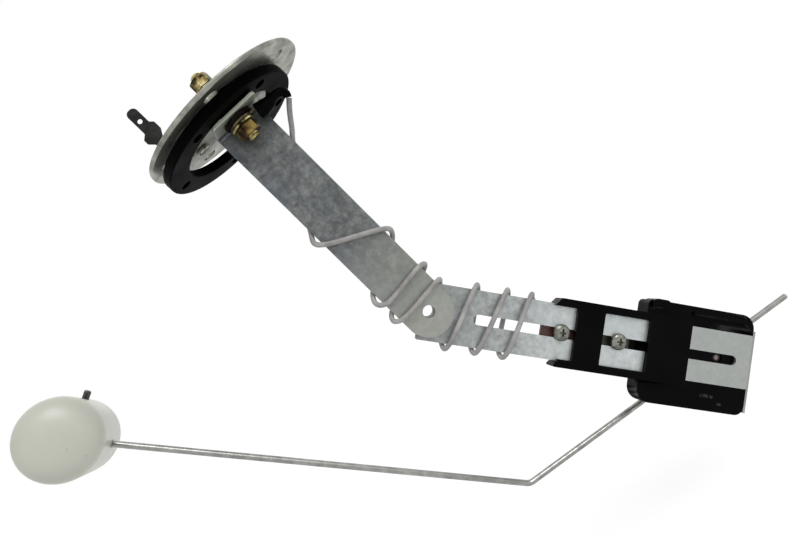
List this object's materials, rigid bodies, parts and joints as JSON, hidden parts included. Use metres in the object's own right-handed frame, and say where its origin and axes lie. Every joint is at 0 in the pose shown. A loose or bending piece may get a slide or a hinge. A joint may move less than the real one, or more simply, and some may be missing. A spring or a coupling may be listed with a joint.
{
  "type": "fuel level sender",
  "caption": "Swing-arm tank level sender: round flange with stud, two strip arms, a sliding sensor housing and a bent wire with a barrel float.",
  "frame": {"origin": "middle of the flange's seating face, on the flange's axis", "axes": "+Z out of the tank along the flange's axis; -Z is down the arms; -Y is the side that the arms' visible faces look to; the lower arm leans towards +X and the float is on the -X side"},
  "size_m": [0.2509, 0.0702, 0.2432],
  "materials": {
    "flange_zinc": "dull zinc plate",
    "strip_zinc": "mottled zinc plate",
    "bright_zinc": "bright zinc plate",
    "steel_wire": "bright drawn wire",
    "brass": "turned and slightly tarnished",
    "bronze": "spring bronze",
    "black_rubber": "matt",
    "black_plastic": "moulded, glossy",
    "dark_plating": "dark plating",
    "brown_board": "brown laminate",
    "lead_grey": "grey insulation",
    "float_plastic": "smooth off-white",
    "hub_plastic": "plain"
  },
  "bodies": {
    "tank_side": {"mounting_flange": "flange_zinc", "flange_gasket": "black_rubber", "terminal_stud": "brass", "flange_insulator": "black_rubber", "top_washer": "brass", "lock_nut": "brass", "terminal_nut": "brass", "stud_spacer": "black_rubber", "foot_insulator": "black_rubber", "lead_ring_terminal": "bright_zinc", "lower_washer": "brass", "stud_nut": "brass", "lead_sleeve": "black_rubber", "lead_wire": "lead_grey", "ground_spade": "dark_plating", "ground_rivet": "bright_zinc", "upper_arm": "strip_zinc", "lower_arm": "strip_zinc"},
    "carriage": {"sensor_housing": "black_plastic", "clamp_plate": "brown_board", "clamp_screw_1": "bright_zinc", "clamp_screw_2": "bright_zinc", "clamp_nut_1": "bright_zinc", "clamp_nut_2": "bright_zinc", "resistor_card": "brown_board", "lead_tag": "brass", "pivot_pin": "bright_zinc", "pivot_clip": "dark_plating", "rear_cover": "bright_zinc", "cover_screw_1": "bright_zinc", "cover_screw_2": "bright_zinc"},
    "float_arm": {"rotor_hub": "hub_plastic", "wiper_arm": "bronze", "rod_clamp_screw_1": "bright_zinc", "rod_clamp_screw_2": "bright_zinc", "float_rod": "steel_wire", "float": "float_plastic"}
  },
  "joints": [
    {"name": "housing_slide", "type": "slide", "parent": "tank_side", "child": "carriage", "axis": [0.5736, 0, -0.8192], "range_m": [0, 0.036], "deforming": ["lead_wire"]},
    {"name": "float_pivot", "type": "hinge", "parent": "carriage", "child": "float_arm", "pos_m": [0.06699, 0, -0.19468], "axis": [0, -1, 0], "range_deg": [-4, 82]}
  ]
}
